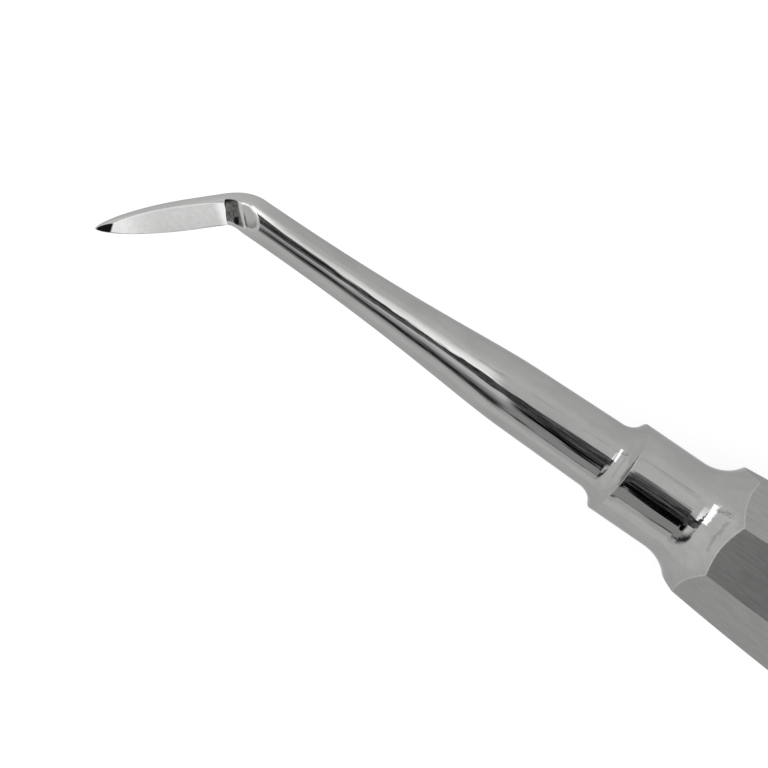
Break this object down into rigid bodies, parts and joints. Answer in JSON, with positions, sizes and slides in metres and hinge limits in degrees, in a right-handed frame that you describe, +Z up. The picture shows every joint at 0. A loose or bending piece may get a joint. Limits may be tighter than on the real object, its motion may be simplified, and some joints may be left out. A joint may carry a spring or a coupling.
{
  "type": "dental pick elevator",
  "caption": "Dental pick elevator: a bent, leaf-shaped ground blade on a tapered round shank, with a collar, a round neck and a thick eight-sided handle, all one piece of polished steel.",
  "frame": {"origin": "on the handle flat that rests on the table, midway along the straight grip", "axes": "+X along the handle away from the blade, +Z up, and the blade bends towards -Y"},
  "size_m": [0.1539, 0.0158, 0.0141],
  "materials": {
    "polished_steel": "polished"
  },
  "bodies": {
    "root": {"pick_elevator": "polished_steel"}
  },
  "joints": []
}
